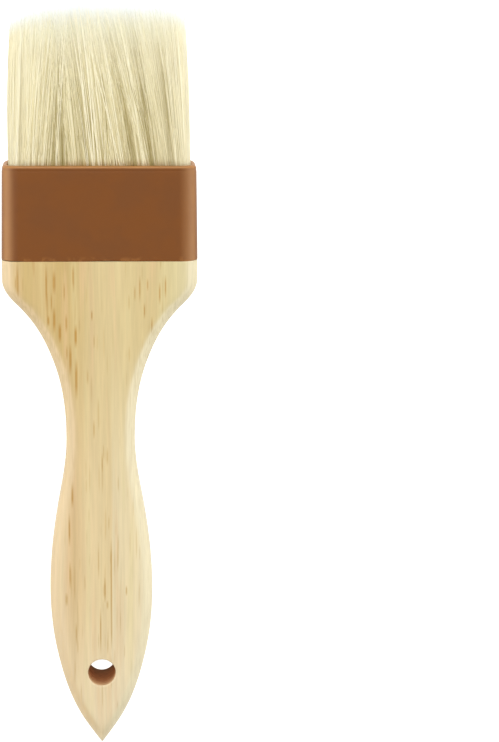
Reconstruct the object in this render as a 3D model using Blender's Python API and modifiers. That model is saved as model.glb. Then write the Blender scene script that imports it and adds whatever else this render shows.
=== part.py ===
# Flat pastry brush, lying on its back. Metres, +Z up: X is its width, Y runs from the handle's point
# to the bristles' tips, and Z is its thickness. The origin is on the surface that it lies on, under
# the middle of its outline.

import math

import bmesh
import bpy
from mathutils import Matrix

MM = 0.001
GAP = 0.3 * MM
WELD = 0.01 * MM

# Outline
TOTAL_LENGTH = 217.0 * MM
HANDLE_LENGTH = 144.2 * MM  # point to shoulder, the wood that shows
FERRULE_LENGTH = 26.9 * MM
THICKNESS = 14.0 * MM
EDGE_ROUND = 3.6 * MM

# Half the handle's width along its length: distance from the point, half width, slope between them
HANDLE_HALF_WIDTH = (
    (0.0 * MM, 0.4 * MM, 0.72),
    (9.1 * MM, 6.45 * MM, 0.54),
    (25.6 * MM, 12.35 * MM, 0.24),
    (47.3 * MM, 14.8 * MM, 0.0),
    (76.2 * MM, 11.5 * MM, -0.19),
    (92.4 * MM, 9.8 * MM, 0.0),
    (115.4 * MM, 13.5 * MM, 0.38),
    (131.2 * MM, 23.4 * MM, 1.03),
    (138.3 * MM, 27.5 * MM, 0.0),
    (HANDLE_LENGTH, 27.5 * MM, 0.0),
)
EDGE_STEPS = 6
FINE_TO = 12 * MM  # slices are close together from the point to here, and from FINE_FROM to the shoulder
FINE_FROM = 127 * MM
FINE_STEP = 1.4 * MM
COARSE_STEP = 3.2 * MM

HANG_HOLE_FROM_POINT = 22.2 * MM
HANG_HOLE_RADIUS = 4.0 * MM
HANG_HOLE_EASING = 0.4 * MM
TENON_LENGTH = 10.0 * MM

# Ferrule
FERRULE_WIDTH_AT_HANDLE = 55.1 * MM
FERRULE_WIDTH_AT_MOUTH = 54.3 * MM
FERRULE_WALL = 1.4 * MM
FERRULE_RIM_ROUND = 0.45 * MM

# Inside the ferrule
GLUE_THICKNESS = 1.0 * MM
EPOXY_LENGTH = 5.0 * MM
EPOXY_CUP_DEPTH = 2.5 * MM
FILLER_WIDTH = 42.0 * MM
FILLER_THICKNESS = 2.4 * MM
FILLER_LENGTH = 7.5 * MM
FILLER_CORNER = 0.8 * MM

# Bristles, packed in two rows: the roots are held in the resin, and the tufts are free
ROWS = (("front", 1), ("back", -1))
ROOTS_WIDTH = 49.4 * MM
ROOTS_THICKNESS = 9.0 * MM
ROOTS_BELOW_MOUTH = 2.5 * MM
TUFT_WIDTH = 50.4 * MM
TUFT_THICKNESS = 10.4 * MM
TUFT_CORNER = 1.8 * MM
TUFT_TIP_THICKNESS = 7.2 * MM
TUFT_CROWN = 1.6 * MM
TUFT_LEFT_CORNER = 8.0 * MM
TUFT_RIGHT_CORNER = 5.0 * MM
FLEX_AXIS_ABOVE_MOUTH = 1.5 * MM

# Places along Y that follow from those
POINT_Y = -TOTAL_LENGTH / 2
SHOULDER_Y = POINT_Y + HANDLE_LENGTH
MOUTH_Y = SHOULDER_Y + FERRULE_LENGTH
TIPS_Y = POINT_Y + TOTAL_LENGTH
FLEX_AXIS_Y = MOUTH_Y + FLEX_AXIS_ABOVE_MOUTH
TENON_END_Y = SHOULDER_Y + TENON_LENGTH
GLUE_END_Y = TENON_END_Y + GAP + GLUE_THICKNESS
EPOXY_Y = GLUE_END_Y + GAP
EPOXY_END_Y = EPOXY_Y + EPOXY_LENGTH
CUP_FLOOR_Y = EPOXY_END_Y - EPOXY_CUP_DEPTH
ROOTS_Y = CUP_FLOOR_Y + GAP
ROOTS_END_Y = MOUTH_Y - ROOTS_BELOW_MOUTH
FREE_LENGTH = TIPS_Y - FLEX_AXIS_Y

MID_Z = THICKNESS / 2
INNER_HALF_WIDTH = FERRULE_WIDTH_AT_MOUTH / 2 - FERRULE_WALL
INNER_THICKNESS = THICKNESS - 2 * FERRULE_WALL
INNER_CORNER = EDGE_ROUND - FERRULE_WALL
CORE_HALF_WIDTH = INNER_HALF_WIDTH - GAP
CORE_THICKNESS = INNER_THICKNESS - 2 * GAP
CORE_CORNER = INNER_CORNER - GAP


def clear_scene():
    for obj in list(bpy.data.objects):
        bpy.data.objects.remove(obj)


def make_collection(name):
    collection = bpy.data.collections.new(name)
    bpy.context.scene.collection.children.link(collection)
    return collection


def make_material(name, colour, roughness):
    material = bpy.data.materials.new(name)
    material.use_nodes = True
    shader = material.node_tree.nodes["Principled BSDF"]
    shader.inputs["Base Color"].default_value = (*colour, 1.0)
    shader.inputs["Roughness"].default_value = roughness
    shader.inputs["Metallic"].default_value = 0.0
    material.diffuse_color = (*colour, 1.0)
    return material


def add_part(name, mesh, y, parts, material):
    """Places a piece on the mid-plane, at a distance along the brush."""
    part = bpy.data.objects.new(name, mesh)
    part.location = (0.0, y, MID_Z)
    mesh.materials.clear()
    mesh.materials.append(material)
    parts.objects.link(part)
    return part


def add_cutter(name, mesh, y, cutters):
    cutter = bpy.data.objects.new(name, mesh)
    cutter.location = (0.0, y, MID_Z)
    cutter.hide_render = True
    cutter.display_type = "WIRE"
    cutters.objects.link(cutter)
    return cutter


def cut(part, cutter, operation="DIFFERENCE"):
    modifier = part.modifiers.new(cutter.name, "BOOLEAN")
    modifier.operation = operation
    modifier.solver = "EXACT"
    modifier.object = cutter


def arc(centre, radius, start, end, steps):
    turns = [math.radians(start + (end - start) * i / steps) for i in range(steps + 1)]
    return [(centre[0] + radius * math.cos(t), centre[1] + radius * math.sin(t)) for t in turns]


def prism(points, depth, turn):
    """Extrudes a closed flat outline by half the depth to each side, and turns it to face its axis."""
    curve = bpy.data.curves.new("outline", "CURVE")
    curve.dimensions = "2D"
    curve.fill_mode = "BOTH"
    curve.extrude = depth / 2
    spline = curve.splines.new("POLY")
    spline.points.add(len(points) - 1)
    spline.use_cyclic_u = True
    for point, (x, y) in zip(spline.points, points):
        point.co = (x, y, 0.0, 1.0)
    holder = bpy.data.objects.new("outline", curve)
    bpy.context.scene.collection.objects.link(holder)
    evaluated = holder.evaluated_get(bpy.context.evaluated_depsgraph_get())
    mesh = bpy.data.meshes.new_from_object(evaluated)
    bpy.data.objects.remove(holder)
    bpy.data.curves.remove(curve)
    mesh.transform(turn)
    work = bmesh.new()
    work.from_mesh(mesh)
    bmesh.ops.remove_doubles(work, verts=work.verts, dist=WELD)
    bmesh.ops.recalc_face_normals(work, faces=work.faces)
    work.to_mesh(mesh)
    work.free()
    return mesh


def bar_outline(half_width, thickness, corner, steps=6):
    """A rectangle with rounded corners, centred on the mid-plane."""
    x, z = half_width - corner, thickness / 2 - corner
    corners = (((x, z), 0), ((-x, z), 90), ((-x, -z), 180), ((x, -z), 270))
    points = []
    for centre, start in corners:
        points += arc(centre, corner, start, start + 90, steps)
    return points


def along_y(points, length):
    """A prism whose outline is seen along the brush. It starts at its own origin and runs along +Y."""
    turn = Matrix(((1, 0, 0, 0), (0, 0, -1, length / 2), (0, 1, 0, 0), (0, 0, 0, 1)))
    return prism(points, length, turn)


def along_x(points, width):
    """A prism whose outline, of Y and Z, is seen from the side of the brush."""
    turn = Matrix(((0, 0, 1, 0), (1, 0, 0, 0), (0, 1, 0, 0), (0, 0, 0, 1)))
    return prism(points, width, turn)


def handle_half_width(distance):
    """Half the handle's width and its slope, on a smooth curve through HANDLE_HALF_WIDTH."""
    for (s0, w0, m0), (s1, w1, m1) in zip(HANDLE_HALF_WIDTH, HANDLE_HALF_WIDTH[1:]):
        if distance <= s1:
            break
    span = s1 - s0
    t = min((distance - s0) / span, 1.0)
    width = (
        (2 * t**3 - 3 * t**2 + 1) * w0
        + (t**3 - 2 * t**2 + t) * span * m0
        + (3 * t**2 - 2 * t**3) * w1
        + (t**3 - t**2) * span * m1
    )
    slope = (
        (6 * t**2 - 6 * t) * (w0 - w1) / span
        + (3 * t**2 - 4 * t + 1) * m0
        + (3 * t**2 - 2 * t) * m1
    )
    return width, slope


def handle_section(distance):
    """One slice across the handle: flat top and bottom, edges rounded square to the outline."""
    width, slope = handle_half_width(distance)
    reach = EDGE_ROUND * math.sqrt(1 + slope**2)
    last = math.acos(max(0.0, 1 - width / reach))
    quarter = []
    for i in range(EDGE_STEPS + 1):
        turn = last * i / EDGE_STEPS
        x = max(0.0, width - reach * (1 - math.cos(turn)))
        quarter.append((x, MID_Z - EDGE_ROUND + EDGE_ROUND * math.sin(turn)))
    upper = quarter + [(-x, z) for x, z in reversed(quarter)]
    lower = [(x, -z) for x, z in reversed(upper)]
    return [(x, distance, z) for x, z in upper + lower]


def handle_stations():
    """Slices from the point to the shoulder, closer together where the outline turns faster."""
    stations = [0.0]
    while stations[-1] < HANDLE_LENGTH - GAP:
        distance = stations[-1]
        fine = distance < FINE_TO or distance > FINE_FROM
        step = FINE_STEP if fine else COARSE_STEP
        stations.append(min(distance + step, HANDLE_LENGTH - GAP))
    return stations


def loft(sections):
    """Closes a skin over rings of points that all have the same count."""
    work = bmesh.new()
    rings = [[work.verts.new(point) for point in section] for section in sections]
    count = len(rings[0])
    for low, high in zip(rings, rings[1:]):
        for i in range(count):
            j = (i + 1) % count
            work.faces.new((low[i], low[j], high[j], high[i]))
    work.faces.new(rings[0])
    work.faces.new(list(reversed(rings[-1])))
    bmesh.ops.remove_doubles(work, verts=work.verts, dist=WELD)
    bmesh.ops.recalc_face_normals(work, faces=work.faces)
    mesh = bpy.data.meshes.new("loft")
    work.to_mesh(mesh)
    work.free()
    return mesh


def hang_hole_cutter(cutters):
    """A turned spool: straight through the wood, and flared at both faces to ease the hole's edges."""
    reach = MID_Z + 2 * MM
    flare = HANG_HOLE_RADIUS + HANG_HOLE_EASING
    profile = (
        (0.0, reach),
        (flare + 2 * MM, reach),
        (flare, MID_Z),
        (HANG_HOLE_RADIUS, MID_Z - HANG_HOLE_EASING),
        (HANG_HOLE_RADIUS, -MID_Z + HANG_HOLE_EASING),
        (flare, -MID_Z),
        (flare + 2 * MM, -reach),
        (0.0, -reach),
    )
    mesh = bpy.data.meshes.new("hang_hole")
    edges = [(i, i + 1) for i in range(len(profile) - 1)]
    mesh.from_pydata([(x, 0.0, z) for x, z in profile], edges, [])
    cutter = add_cutter("hang_hole_cutter", mesh, POINT_Y + HANG_HOLE_FROM_POINT, cutters)
    screw = cutter.modifiers.new("turn", "SCREW")
    screw.axis = "Z"
    screw.steps = screw.render_steps = 40
    screw.use_merge_vertices = True
    screw.merge_threshold = WELD
    return cutter


def make_handle(parts, cutters, material):
    """The wood: a lofted paddle, with the tenon that plugs into the ferrule and the hang hole."""
    mesh = loft([handle_section(distance) for distance in handle_stations()])
    handle = add_part("handle", mesh, POINT_Y, parts, material)
    inside = 6 * MM  # the tenon starts this deep in the wood
    outline = bar_outline(CORE_HALF_WIDTH, CORE_THICKNESS, CORE_CORNER)
    tenon = along_y(outline, inside + TENON_LENGTH)
    cut(handle, add_cutter("tenon", tenon, SHOULDER_Y - inside, cutters), "UNION")
    cut(handle, hang_hole_cutter(cutters))
    return handle


def make_ferrule(parts, cutters, material):
    """The sleeve: it narrows a little towards its mouth, and all its rims are rounded."""
    outline = bar_outline(FERRULE_WIDTH_AT_HANDLE / 2, THICKNESS, EDGE_ROUND)
    mesh = along_y(outline, FERRULE_LENGTH)
    draft = 1 - FERRULE_WIDTH_AT_MOUTH / FERRULE_WIDTH_AT_HANDLE
    for vertex in mesh.vertices:
        vertex.co.x *= 1 - draft * vertex.co.y / FERRULE_LENGTH
    ferrule = add_part("ferrule", mesh, SHOULDER_Y, parts, material)
    past = 5 * MM
    outline = bar_outline(INNER_HALF_WIDTH, INNER_THICKNESS, INNER_CORNER)
    inside = along_y(outline, FERRULE_LENGTH + 2 * past)
    cut(ferrule, add_cutter("sleeve_cutter", inside, SHOULDER_Y - past, cutters))
    bevel = ferrule.modifiers.new("rims", "BEVEL")
    bevel.width = FERRULE_RIM_ROUND
    bevel.segments = 2
    bevel.limit_method = "ANGLE"
    bevel.angle_limit = math.radians(60)
    return ferrule


def make_tenon_glue(parts, material):
    outline = bar_outline(CORE_HALF_WIDTH, CORE_THICKNESS, CORE_CORNER)
    mesh = along_y(outline, GLUE_THICKNESS)
    return add_part("tenon_glue", mesh, TENON_END_Y + GAP, parts, material)


def make_epoxy_set(parts, cutters, material):
    """A block cast across the ferrule, with a shallow cup that the roots and the filler strip sit in."""
    outline = bar_outline(CORE_HALF_WIDTH, CORE_THICKNESS, CORE_CORNER)
    epoxy = add_part("epoxy_set", along_y(outline, EPOXY_LENGTH), EPOXY_Y, parts, material)
    outline = bar_outline(ROOTS_WIDTH / 2 + GAP, ROOTS_THICKNESS + 2 * GAP, TUFT_CORNER)
    cup = along_y(outline, 2 * EPOXY_CUP_DEPTH)
    cut(epoxy, add_cutter("cup_cutter", cup, CUP_FLOOR_Y, cutters))
    return epoxy


def make_filler_strip(parts, material):
    outline = bar_outline(FILLER_WIDTH / 2, FILLER_THICKNESS, FILLER_CORNER)
    return add_part("filler_strip", along_y(outline, FILLER_LENGTH), ROOTS_Y, parts, material)


def roots_outline(side):
    """One row's section: flat towards the filler strip, rounded at its two outer corners."""
    inner = FILLER_THICKNESS / 2 + GAP
    x = ROOTS_WIDTH / 2 - TUFT_CORNER
    z = ROOTS_THICKNESS / 2 - TUFT_CORNER
    points = [(ROOTS_WIDTH / 2, inner)]
    points += arc((x, z), TUFT_CORNER, 0, 90, 5)
    points += arc((-x, z), TUFT_CORNER, 90, 180, 5)
    points.append((-ROOTS_WIDTH / 2, inner))
    return [(x, side * z) for x, z in points]


def make_roots(name, side, trough, parts, material):
    """The packed lower ends of one row, hollowed at the top to let the free tuft roll."""
    mesh = along_y(roots_outline(side), ROOTS_END_Y - ROOTS_Y)
    roots = add_part(f"bristle_roots_{name}", mesh, ROOTS_Y, parts, material)
    cut(roots, trough)
    return roots


def trough_cutter(cutters):
    """A round bar on the flex axis, one gap larger than the tuft's rounded foot."""
    steps = 48
    circle = arc((0.0, 0.0), TUFT_THICKNESS / 2 + GAP, 0, 360, steps)[:steps]
    return add_cutter("trough_cutter", along_x(circle, TUFT_WIDTH + 8 * MM), FLEX_AXIS_Y, cutters)


def tuft_side(side):
    """One row's free tuft from the side: a quarter round foot, and a thinner rounded end at the tips."""
    foot = TUFT_THICKNESS / 2
    tip = TUFT_TIP_THICKNESS / 2
    inner = GAP / 2
    foot_end = 180 - math.degrees(math.asin(inner / foot))
    tip_end = math.degrees(math.asin(inner / tip))
    points = arc((0.0, 0.0), foot, foot_end, 90, 12)
    points.append((0.6 * FREE_LENGTH, foot - 0.2 * MM))  # nearly straight for most of its length
    points += arc((FREE_LENGTH - tip, 0.0), tip, 75, tip_end, 6)
    return [(y, side * z) for y, z in points]


def tuft_section_cutter(cutters):
    """The whole tuft's section, a bar with rounded edges, longer than the tuft."""
    outline = bar_outline(TUFT_WIDTH / 2, TUFT_THICKNESS, TUFT_CORNER)
    mesh = along_y(outline, FREE_LENGTH + 2 * TUFT_THICKNESS)
    return add_cutter("tuft_section_cutter", mesh, FLEX_AXIS_Y - TUFT_THICKNESS, cutters)


def tuft_front_cutter(cutters):
    """The tuft from the front: straight sides, a low crown, and worn corners, the left one the larger."""
    half_width = TUFT_WIDTH / 2 + 1 * MM
    sides_end = FREE_LENGTH - TUFT_CROWN
    right, left = TUFT_RIGHT_CORNER, TUFT_LEFT_CORNER
    points = [(half_width, -TUFT_THICKNESS)]
    points += arc((half_width - right, sides_end - right), right, 0, 80, 6)
    points.append((2 * MM, FREE_LENGTH))
    points += arc((-half_width + left, sides_end - left), left, 100, 180, 6)
    points.append((-half_width, -TUFT_THICKNESS))
    mesh = prism(points, 2 * THICKNESS, Matrix())
    return add_cutter("tuft_front_cutter", mesh, FLEX_AXIS_Y, cutters)


def make_tuft(name, side, section, front, flex_axis, parts, material):
    """One row's free tuft: its side view, cut to the tuft's section and to its front view."""
    mesh = along_x(tuft_side(side), TUFT_WIDTH + 4 * MM)
    tuft = add_part(f"bristle_tuft_{name}", mesh, FLEX_AXIS_Y, parts, material)
    tuft.parent = flex_axis
    tuft.location -= flex_axis.location
    cut(tuft, section, "INTERSECT")
    cut(tuft, front, "INTERSECT")
    return tuft


def make_flex_axis(parts):
    """The line across the brush, just above the ferrule's mouth, that the tufts bend about."""
    flex_axis = bpy.data.objects.new("bristle_flex_axis", None)
    flex_axis.location = (0.0, FLEX_AXIS_Y, MID_Z)
    flex_axis.empty_display_size = 10 * MM
    parts.objects.link(flex_axis)
    return flex_axis


def shade(part):
    part.data.shade_smooth()
    part.data.set_sharp_from_angle(angle=math.radians(35))


def build():
    clear_scene()
    parts = make_collection("pastry_brush")
    cutters = make_collection("cutters")

    wood = make_material("rubberwood", (0.76, 0.58, 0.34), 0.5)
    plastic = make_material("brown_plastic", (0.235, 0.085, 0.026), 0.42)
    hair = make_material("boar_hair", (0.74, 0.64, 0.40), 0.6)
    resin = make_material("epoxy_resin", (0.42, 0.30, 0.13), 0.25)
    glue = make_material("wood_glue", (0.62, 0.52, 0.30), 0.4)
    strip = make_material("poplar_strip", (0.66, 0.50, 0.30), 0.7)

    made = [
        make_handle(parts, cutters, wood),
        make_ferrule(parts, cutters, plastic),
        make_tenon_glue(parts, glue),
        make_epoxy_set(parts, cutters, resin),
        make_filler_strip(parts, strip),
    ]
    trough = trough_cutter(cutters)
    section = tuft_section_cutter(cutters)
    front = tuft_front_cutter(cutters)
    flex_axis = make_flex_axis(parts)
    for name, side in ROWS:
        made.append(make_roots(name, side, trough, parts, hair))
        made.append(make_tuft(name, side, section, front, flex_axis, parts, hair))
    for part in made:
        shade(part)


build()
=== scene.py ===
import math

import bmesh
import bpy
from mathutils import Matrix, Vector


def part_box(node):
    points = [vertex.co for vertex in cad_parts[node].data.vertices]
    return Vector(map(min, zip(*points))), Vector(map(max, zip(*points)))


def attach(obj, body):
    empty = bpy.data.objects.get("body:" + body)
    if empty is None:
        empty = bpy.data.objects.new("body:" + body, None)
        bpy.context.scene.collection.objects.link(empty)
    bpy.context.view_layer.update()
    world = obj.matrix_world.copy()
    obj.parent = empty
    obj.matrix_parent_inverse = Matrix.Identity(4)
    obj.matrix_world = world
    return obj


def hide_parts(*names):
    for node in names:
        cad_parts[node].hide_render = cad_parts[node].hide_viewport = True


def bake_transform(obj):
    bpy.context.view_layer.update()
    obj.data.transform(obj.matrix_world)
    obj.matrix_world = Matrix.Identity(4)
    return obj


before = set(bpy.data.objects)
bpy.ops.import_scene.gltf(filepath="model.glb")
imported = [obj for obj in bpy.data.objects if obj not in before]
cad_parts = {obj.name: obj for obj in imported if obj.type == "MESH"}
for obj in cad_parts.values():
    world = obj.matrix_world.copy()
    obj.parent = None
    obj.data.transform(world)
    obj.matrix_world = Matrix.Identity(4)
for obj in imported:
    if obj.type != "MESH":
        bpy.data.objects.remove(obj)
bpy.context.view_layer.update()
print("frame loaded:", ", ".join(sorted(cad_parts)))

mm = 0.001
handleLow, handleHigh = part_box("handle")
ferruleLow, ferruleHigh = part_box("ferrule")
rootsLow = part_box("bristle_roots_front")[0]
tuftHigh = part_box("bristle_tuft_front")[1]
pointY = handleLow.y
shoulderY = ferruleLow.y
mouthY = ferruleHigh.y
tipsY = tuftHigh.y
midZ = (ferruleLow.z + ferruleHigh.z) / 2


def fromHex(code):
    # sRGB hex to the linear values that shaders take
    channels = [int(code[i:i + 2], 16) / 255 for i in (1, 3, 5)]
    return tuple(c / 12.92 if c <= 0.04045 else ((c + 0.055) / 1.055) ** 2.4 for c in channels) + (1.0,)


def addNode(tree, kind, inputs=None, stops=None, **settings):
    # inputs maps a socket's name or number to a value, an output socket, or a node (its first active output);
    # stops are a Color Ramp's, each a place from 0 to 1 and a linear colour
    node = tree.nodes.new(kind)
    for name, value in settings.items():
        setattr(node, name, value)
    for socket, value in (inputs or {}).items():
        if isinstance(value, bpy.types.Node):
            value = next(output for output in value.outputs if output.enabled)
        if isinstance(value, bpy.types.NodeSocket):
            tree.links.new(value, node.inputs[socket])
        else:
            node.inputs[socket].default_value = value
    if stops:
        elements = node.color_ramp.elements
        elements[0].color = stops[0][1]
        elements[1].color = stops[-1][1]
        for at, colour in stops[1:-1]:
            elements.new(at).color = colour
    return node


def newMaterial(name):
    # an empty material with its shader, ready for colour and bump
    material = bpy.data.materials.new(name)
    material.use_nodes = True
    tree = material.node_tree
    return material, tree, tree.nodes["Principled BSDF"]


def finish(tree, shader, colour, bump, values):
    # links the worked out colour and bump, and sets what is the same all over
    tree.links.new(next(output for output in colour.outputs if output.enabled), shader.inputs["Base Color"])
    if bump:
        tree.links.new(bump.outputs[0], shader.inputs["Normal"])
    for name, value in values.items():
        shader.inputs[name].default_value = value


def addPiece(name, mesh, material=None):
    piece = bpy.data.objects.new(name, mesh)
    bpy.context.scene.collection.objects.link(piece)
    if material:
        mesh.materials.clear()
        mesh.materials.append(material)
    return piece


def toPlainMesh(piece):
    # bakes the modifiers into a plain mesh
    depsgraph = bpy.context.evaluated_depsgraph_get()
    mesh = bpy.data.meshes.new_from_object(piece.evaluated_get(depsgraph))
    piece.modifiers.clear()
    piece.data = mesh


# camera: above the bristle end and looking back along the brush, with the brush left of the middle
camera = {
    "lens": 124.8,  # mm, on a 36 mm sensor along the tall side
    "place": (0.0, 176.6 * mm, 722.3 * mm),
    "tilt": -13.7,  # degrees from straight down, about the brush's width
    "pan": -3.319,  # degrees about its own upright, and below 0 it turns to the right
    "lean": -0.31,  # degrees about its own line of sight
}


def makeCamera(d):
    data = bpy.data.cameras.new("camera")
    data.lens = d["lens"]
    data.sensor_width = 36.0
    data.clip_start = 0.05
    eye = bpy.data.objects.new("camera", data)
    turn = Matrix.Translation(d["place"])
    for axis, angle in (("X", d["tilt"]), ("Y", d["pan"]), ("Z", d["lean"])):
        turn = turn @ Matrix.Rotation(math.radians(angle), 4, axis)
    eye.matrix_world = turn
    bpy.context.scene.collection.objects.link(eye)
    bpy.context.scene.camera = eye


makeCamera(camera)
print("camera placed")

# rubberwood: pale, straight grained, with thin brown vessel lines; sanded and given a thin clear lacquer
wood = {
    # the board's bands from its left to its right edge: distance from the middle in mm, and colour
    "headBands": (
        (-28.0, "#cdb68e"), (-23.6, "#c6ab78"), (-21.0, "#bda36a"), (-16.0, "#c4aa74"), (-12.0, "#bda166"),
        (-8.0, "#bfa46c"), (-5.0, "#c3ab76"), (-2.0, "#c6b180"), (4.0, "#cbb786"), (9.0, "#c8b482"),
        (15.0, "#c6b17e"), (20.0, "#c8b989"), (28.0, "#d0c49c"),
    ),
    "gripBands": (
        (-28.0, "#d8c49e"), (-12.0, "#d5be98"), (-9.4, "#cfb588"), (-8.1, "#c4a97a"), (-6.8, "#ceb485"),
        (-3.5, "#d3bd91"), (0.0, "#d1bc8f"), (2.6, "#d0ba8c"), (3.3, "#d3c39c"), (8.8, "#d6c49b"),
        (11.5, "#d8c9a3"), (28.0, "#dccfae"),
    ),
    "leftEdge": "#cfb68b",  # where the sanded edges cut across the fibres
    "rightEdge": "#d8cca8",
    "pointEnd": "#e0d0b0",  # the wood is paler towards the point
    "pink": "#d6b488",
    "green": "#cdc08e",
    "vessel": "#ad8540",
    "wander": 0.9,  # mm that the grain wanders across the board
    "wanderWaves": (60.0, 14.0, 60.0),  # and how often in each metre
    # noise drawn out along the grain: width and length in mm, detail, darkest and palest
    "grains": {
        "bands": (2.6, 50.0, 2.0, 0.975, 1.02),
        "lines": (0.9, 30.0, 3.0, 0.97, 1.03),
        "fibres": (0.4, 9.0, 2.0, 0.97, 1.025),
    },
    # soft masks: what each one follows, where it starts and where it is full, and its strength at both
    "masks": {
        "head": ("y", -46.0 * mm, 20.0 * mm, 0.0, 1.0),
        "point": ("y", -55.0 * mm, -105.0 * mm, 0.0, 0.55),
        "right": ("x", -4.0 * mm, 4.0 * mm, 0.0, 1.0),
        "green": ("bands", 0.52, 0.72, 0.0, 0.35),
        "pink": ("bands", 0.47, 0.3, 0.0, 0.4),
        "edge": ("depth", 6.98 * mm, 6.55 * mm, 0.0, 1.0),
        "patchy": ("fibres", 0.35, 0.55, 0.6, 0.95),
        "broken": ("fibres", 0.25, 0.5, 0.7, 1.0),
    },
    # short vessel lines scattered over the board: width and length of the cell that holds each,
    # in mm, the share of cells left empty, and how dark the lines are
    "vessels": ((0.9, 16.0, 0.74, 0.42), (0.7, 8.0, 0.76, 0.4)),
    # long brown lines, most of them on the left: distance from the middle, from, to, half width, darkness
    # (real vessels are about 0.2 mm wide, which is too fine to show, so they are drawn coarser)
    "lines": (
        (-23.0, 23.0, 36.0, 0.4, 0.75), (-23.6, 27.0, 32.0, 0.25, 0.6), (-15.0, 21.5, 35.5, 0.32, 0.9),
        (-12.8, 26.0, 33.5, 0.5, 0.85), (-13.6, 21.0, 27.0, 0.25, 0.7), (-7.4, 26.5, 35.6, 0.28, 0.85),
        (-10.0, 24.0, 30.0, 0.25, 0.65), (-12.9, 15.0, 23.0, 0.45, 1.0), (-14.5, 17.0, 20.5, 0.35, 0.9),
        (-11.3, 12.0, 18.5, 0.45, 1.0), (-9.5, 15.0, 21.0, 0.32, 0.75), (-6.9, 10.5, 18.0, 0.42, 1.0),
        (-8.4, 2.5, 12.5, 0.4, 0.95), (-9.4, 7.0, 12.0, 0.25, 0.6), (-6.8, -4.5, 8.0, 0.45, 0.85),
        (-2.3, 18.5, 22.0, 0.22, 0.85), (-1.7, 10.5, 15.0, 0.22, 0.5), (-3.6, 0.0, 5.0, 0.25, 0.5),
        (-1.9, -16.0, -10.0, 0.25, 0.55), (0.4, -26.0, -19.5, 0.25, 0.55), (1.9, -24.0, -18.0, 0.25, 0.4),
        (-7.6, -25.0, -12.0, 0.35, 0.6), (-8.2, -36.5, -28.0, 0.36, 1.0), (-9.1, -48.0, -37.5, 0.3, 0.85),
        (-9.0, -61.0, -52.0, 0.3, 0.7), (-10.1, -66.0, -61.5, 0.4, 0.6), (-7.3, -78.0, -70.5, 0.3, 0.55),
        (2.85, -80.0, -45.0, 0.26, 0.7), (-0.3, -81.0, -66.0, 0.24, 0.7), (-0.8, -58.0, -46.0, 0.24, 0.45),
        (1.0, -65.0, -57.0, 0.26, 0.8), (1.7, -67.0, -64.0, 0.3, 0.5), (7.2, -63.0, -59.5, 0.26, 0.6),
        (12.5, 19.0, 24.0, 0.25, 0.8), (14.6, 13.0, 20.0, 0.25, 0.85), (11.2, 24.0, 32.0, 0.25, 0.7),
        (16.8, 23.0, 30.0, 0.25, 0.8), (9.8, 24.0, 29.0, 0.25, 0.6), (18.4, 25.0, 32.0, 0.25, 0.75),
        (13.4, 27.0, 31.0, 0.25, 0.6),
    ),
}


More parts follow.
